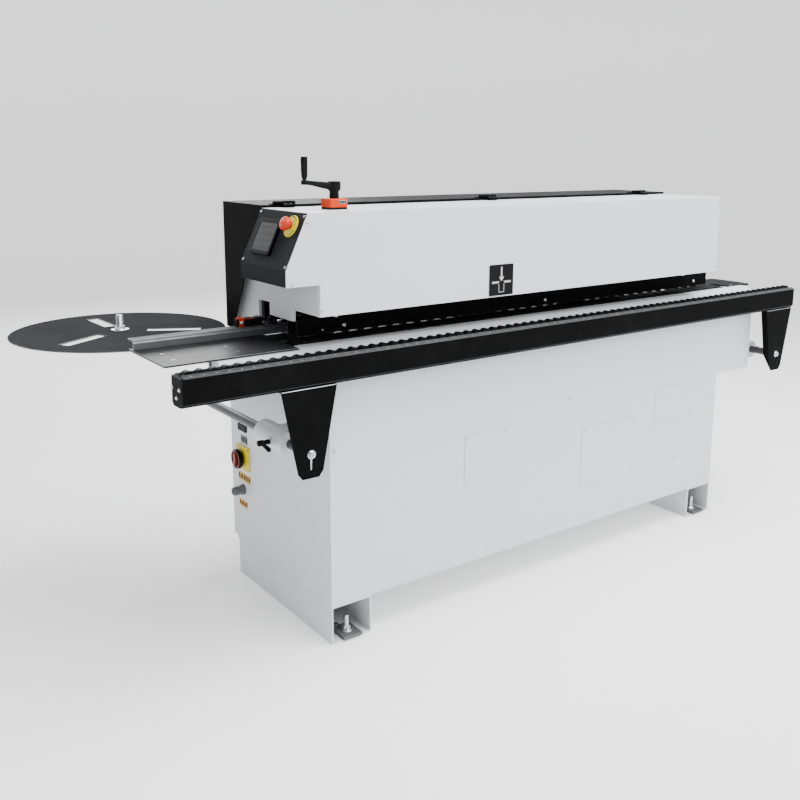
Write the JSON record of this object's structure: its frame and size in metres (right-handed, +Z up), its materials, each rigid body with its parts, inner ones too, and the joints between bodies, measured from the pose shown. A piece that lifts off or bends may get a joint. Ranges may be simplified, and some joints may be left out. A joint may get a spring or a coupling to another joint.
{
  "type": "edge banding machine",
  "caption": "Floor-standing edge banding machine: white cabinet and hood, black roller outrigger rail, tape coil plate, crank-set pressure beam and slanted control panel.",
  "frame": {"origin": "middle of the machine's box, on the floor", "axes": "+X the way panels travel, +Y from the operator to the rear, +Z up"},
  "size_m": [3.004, 1.038, 1.4909],
  "materials": {
    "white_paint": "satin powder coat",
    "black_paint": "satin powder coat",
    "grey_plate": "fine satin",
    "panel_grey": "fine texture",
    "steel": "bright",
    "cast": "painted casting",
    "aluminium": "extruded, satin",
    "rubber": "matt",
    "black_plastic": "matt",
    "orange_plastic": "satin",
    "red_plastic": "gloss",
    "yellow_plastic": "satin",
    "grey_plastic": "matt",
    "motor_grey": "satin"
  },
  "bodies": {
    "frame": {"left_foot": "white_paint", "right_foot": "white_paint", "lower_cabinet": "white_paint", "access_cover_left": "white_paint", "access_cover_upper": "white_paint", "access_cover_lower": "white_paint", "rear_panel": "white_paint", "apron": "white_paint", "bed_plate": "cast", "table_strip": "white_paint", "feed_track": "rubber", "feed_gearmotor": "motor_grey", "infeed_plate": "grey_plate", "infeed_support": "cast", "outfeed_plate": "black_paint", "front_hood": "white_paint", "infeed_guard": "white_paint", "control_housing": "black_paint", "control_panel": "panel_grey", "touch_screen": "black_plastic", "stop_button_ring": "yellow_plastic", "cover_hinge_1": "black_paint", "cover_hinge_2": "black_paint", "cover_hinge_3": "black_paint", "upper_frame": "cast", "height_indicator": "orange_plastic", "left_slide_sleeve": "white_paint", "right_slide_sleeve": "white_paint", "coil_support": "cast", "cable_gland": "grey_plastic", "glue_pot": "cast", "edge_trim_unit": "motor_grey", "buffing_motor": "motor_grey"},
    "rail": {"roller_rail": "black_paint", "rail_rollers": "black_plastic", "left_leg": "black_paint", "right_leg": "black_paint", "left_slide_tube": "steel", "right_slide_tube": "steel"},
    "left_lever": {"left_clamp_lever": "black_plastic"},
    "right_lever": {"right_clamp_lever": "black_plastic"},
    "drive": {"drive_sprocket": "steel"},
    "idler": {"idler_sprocket": "steel"},
    "crank": {"crank_handle": "black_plastic", "lift_screw_left": "steel"},
    "grip": {"crank_grip": "black_plastic"},
    "right_screw": {"lift_screw_right": "steel"},
    "beam": {"pressure_beam": "black_paint"},
    "fence": {"infeed_fence": "aluminium", "fence_indicator": "orange_plastic"},
    "fence_knob": {"fence_knob": "black_plastic"},
    "cover": {"rear_cover": "black_paint"},
    "stop_button": {"stop_button": "red_plastic"},
    "main_switch": {"main_switch": "red_plastic"},
    "coil": {"coil_plate": "grey_plate", "coil_spindle": "steel"},
    "glue_roller": {"glue_roller": "steel"},
    "pressure_roller": {"pressure_roller": "rubber"},
    "end_trim": {"end_trim_carriage": "motor_grey"},
    "buffing_wheel": {"buffing_wheel": "rubber"}
  },
  "joints": [
    {"name": "rail_slide", "type": "slide", "parent": "frame", "child": "rail", "axis": [0, -1, 0], "range_m": [0, 0.35]},
    {"name": "left_lever_turn", "type": "hinge", "parent": "frame", "child": "left_lever", "pos_m": [-0.885, -0.338, 0.661], "axis": [1, 0, 0], "range_deg": [0, 90]},
    {"name": "right_lever_turn", "type": "hinge", "parent": "frame", "child": "right_lever", "pos_m": [1.407, -0.338, 0.661], "axis": [1, 0, 0], "range_deg": [0, 90]},
    {"name": "feed_drive", "type": "hinge", "parent": "frame", "child": "drive", "pos_m": [1.175, -0.335, 0.883], "axis": [0, 1, 0], "continuous": true},
    {"name": "feed_idler", "type": "hinge", "parent": "frame", "child": "idler", "pos_m": [-0.805, -0.335, 0.883], "axis": [0, 1, 0], "continuous": true},
    {"name": "crank_turn", "type": "hinge", "parent": "frame", "child": "crank", "pos_m": [-0.718, -0.381, 1.4], "axis": [0, 0, -1], "range_deg": [0, 3600]},
    {"name": "grip_spin", "type": "hinge", "parent": "crank", "child": "grip", "pos_m": [-0.816, -0.381, 1.46], "axis": [0, 0, 1], "continuous": true},
    {"name": "right_screw_turn", "type": "hinge", "parent": "frame", "child": "right_screw", "pos_m": [0.912, -0.381, 1.1], "axis": [0, 0, -1], "range_deg": [0, 3600]},
    {"name": "beam_lift", "type": "slide", "parent": "frame", "child": "beam", "axis": [0, 0, 1], "range_m": [0, 0.04]},
    {"name": "fence_adjust", "type": "slide", "parent": "frame", "child": "fence", "axis": [0, 1, 0], "range_m": [0, 0.004]},
    {"name": "fence_knob_turn", "type": "hinge", "parent": "fence", "child": "fence_knob", "pos_m": [-0.822, -0.171, 0.9936], "axis": [0, 1, 0], "range_deg": [0, 1440]},
    {"name": "cover_lift", "type": "hinge", "parent": "frame", "child": "cover", "pos_m": [-0.78, -0.219, 1.353], "axis": [1, 0, 0], "range_deg": [0, 70]},
    {"name": "stop_push", "type": "slide", "parent": "frame", "child": "stop_button", "axis": [0.9081, 0, -0.4187], "range_m": [0, 0.005]},
    {"name": "main_switch_turn", "type": "hinge", "parent": "frame", "child": "main_switch", "pos_m": [-0.78, 0.149, 0.447], "axis": [1, 0, 0], "range_deg": [0, 90]},
    {"name": "coil_spin", "type": "hinge", "parent": "frame", "child": "coil", "pos_m": [-1.172, 0.189, 0.94], "axis": [0, 0, 1], "continuous": true},
    {"name": "glue_roller_spin", "type": "hinge", "parent": "frame", "child": "glue_roller", "pos_m": [-0.65, -0.162, 0.96], "axis": [0, 0, 1], "continuous": true},
    {"name": "pressure_roller_spin", "type": "hinge", "parent": "frame", "child": "pressure_roller", "pos_m": [-0.515, -0.14, 0.96], "axis": [0, 0, 1], "continuous": true},
    {"name": "end_trim_travel", "type": "slide", "parent": "frame", "child": "end_trim", "axis": [1, 0, 0], "range_m": [0, 0.06]},
    {"name": "buffing_spin", "type": "hinge", "parent": "frame", "child": "buffing_wheel", "pos_m": [0.67, -0.12, 0.96], "axis": [0, 0, 1], "continuous": true}
  ],
  "couplings": [
    {"joint": "feed_idler", "follows": "feed_drive", "ratio": 1},
    {"joint": "crank_turn", "follows": "beam_lift", "rad_per_m": 1570.8},
    {"joint": "right_screw_turn", "follows": "beam_lift", "rad_per_m": 1570.8},
    {"joint": "fence_knob_turn", "follows": "fence_adjust", "rad_per_m": 6283.2}
  ]
}
